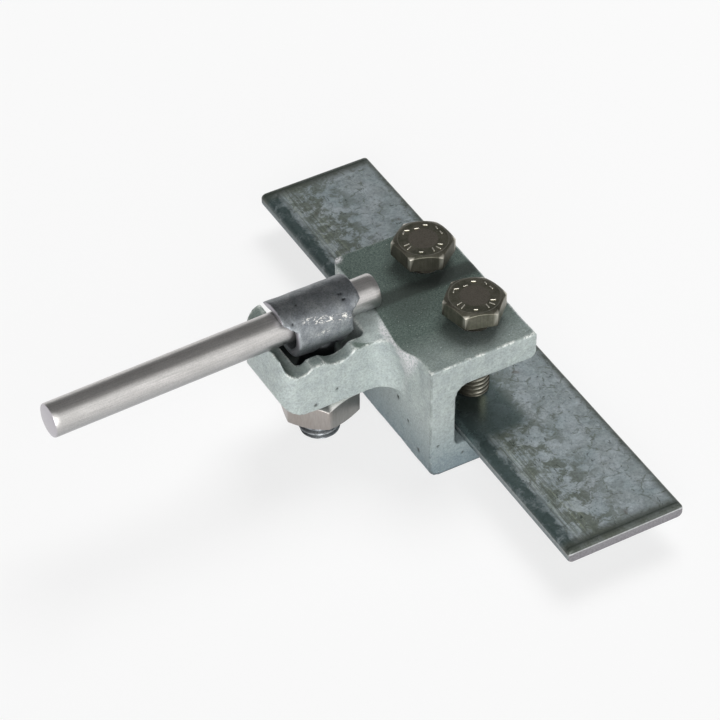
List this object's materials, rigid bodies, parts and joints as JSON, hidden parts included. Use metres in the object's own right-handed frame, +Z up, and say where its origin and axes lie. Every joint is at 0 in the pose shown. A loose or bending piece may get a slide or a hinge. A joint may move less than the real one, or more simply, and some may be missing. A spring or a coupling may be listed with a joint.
{
  "type": "connection clamp",
  "caption": "Cast C-shaped clamp that joins a flat strip, held by hexagon pressure screws, to a round conductor held by an eye bolt on its side arm.",
  "frame": {"origin": "middle of the clamp body's flat bottom face", "axes": "+X from the closed back of the body to its open ends, along the round conductor; +Y along the flat strip, away from the viewer; +Z up, along the screws"},
  "size_m": [0.1205, 0.1406, 0.0421],
  "materials": {
    "galvanised_casting": "hot-dip galvanised malleable cast iron, fine sandy grain, matt grey-green",
    "stainless_screws": "bronze-toned stainless steel, satin",
    "galvanised_eye": "hot-dip galvanised steel, blue-grey with a spangled highlight",
    "nut_steel": "bright satin steel with a warm tone",
    "round_bar": "drawn round bar, satin silver",
    "zinc_strip": "hot-dip galvanised strip, mottled blue-grey zinc"
  },
  "bodies": {
    "clamp": {"clamp_body": "galvanised_casting", "round_conductor": "round_bar", "flat_strip": "zinc_strip"},
    "front_screw": {"pressure_screw_front": "stainless_screws"},
    "rear_screw": {"pressure_screw_rear": "stainless_screws"},
    "nut": {"hex_nut": "nut_steel"},
    "eye": {"eye_bolt": "galvanised_eye"}
  },
  "joints": [
    {"name": "front_screw_travel", "type": "slide", "parent": "clamp", "child": "front_screw", "axis": [0, 0, 1], "range_m": [0, 0.01]},
    {"name": "rear_screw_travel", "type": "slide", "parent": "clamp", "child": "rear_screw", "axis": [0, 0, 1], "range_m": [0, 0.01]},
    {"name": "nut_turn", "type": "hinge", "parent": "clamp", "child": "nut", "pos_m": [-0.0275, 0.0042, 0.01105], "axis": [0, 0, -1], "range_deg": [0, 360]},
    {"name": "eye_lift", "type": "slide", "parent": "clamp", "child": "eye", "axis": [0, 0, 1], "range_m": [0, 0.0015]}
  ],
  "couplings": [
    {"joint": "nut_turn", "follows": "eye_lift", "rad_per_m": 4188.7}
  ]
}
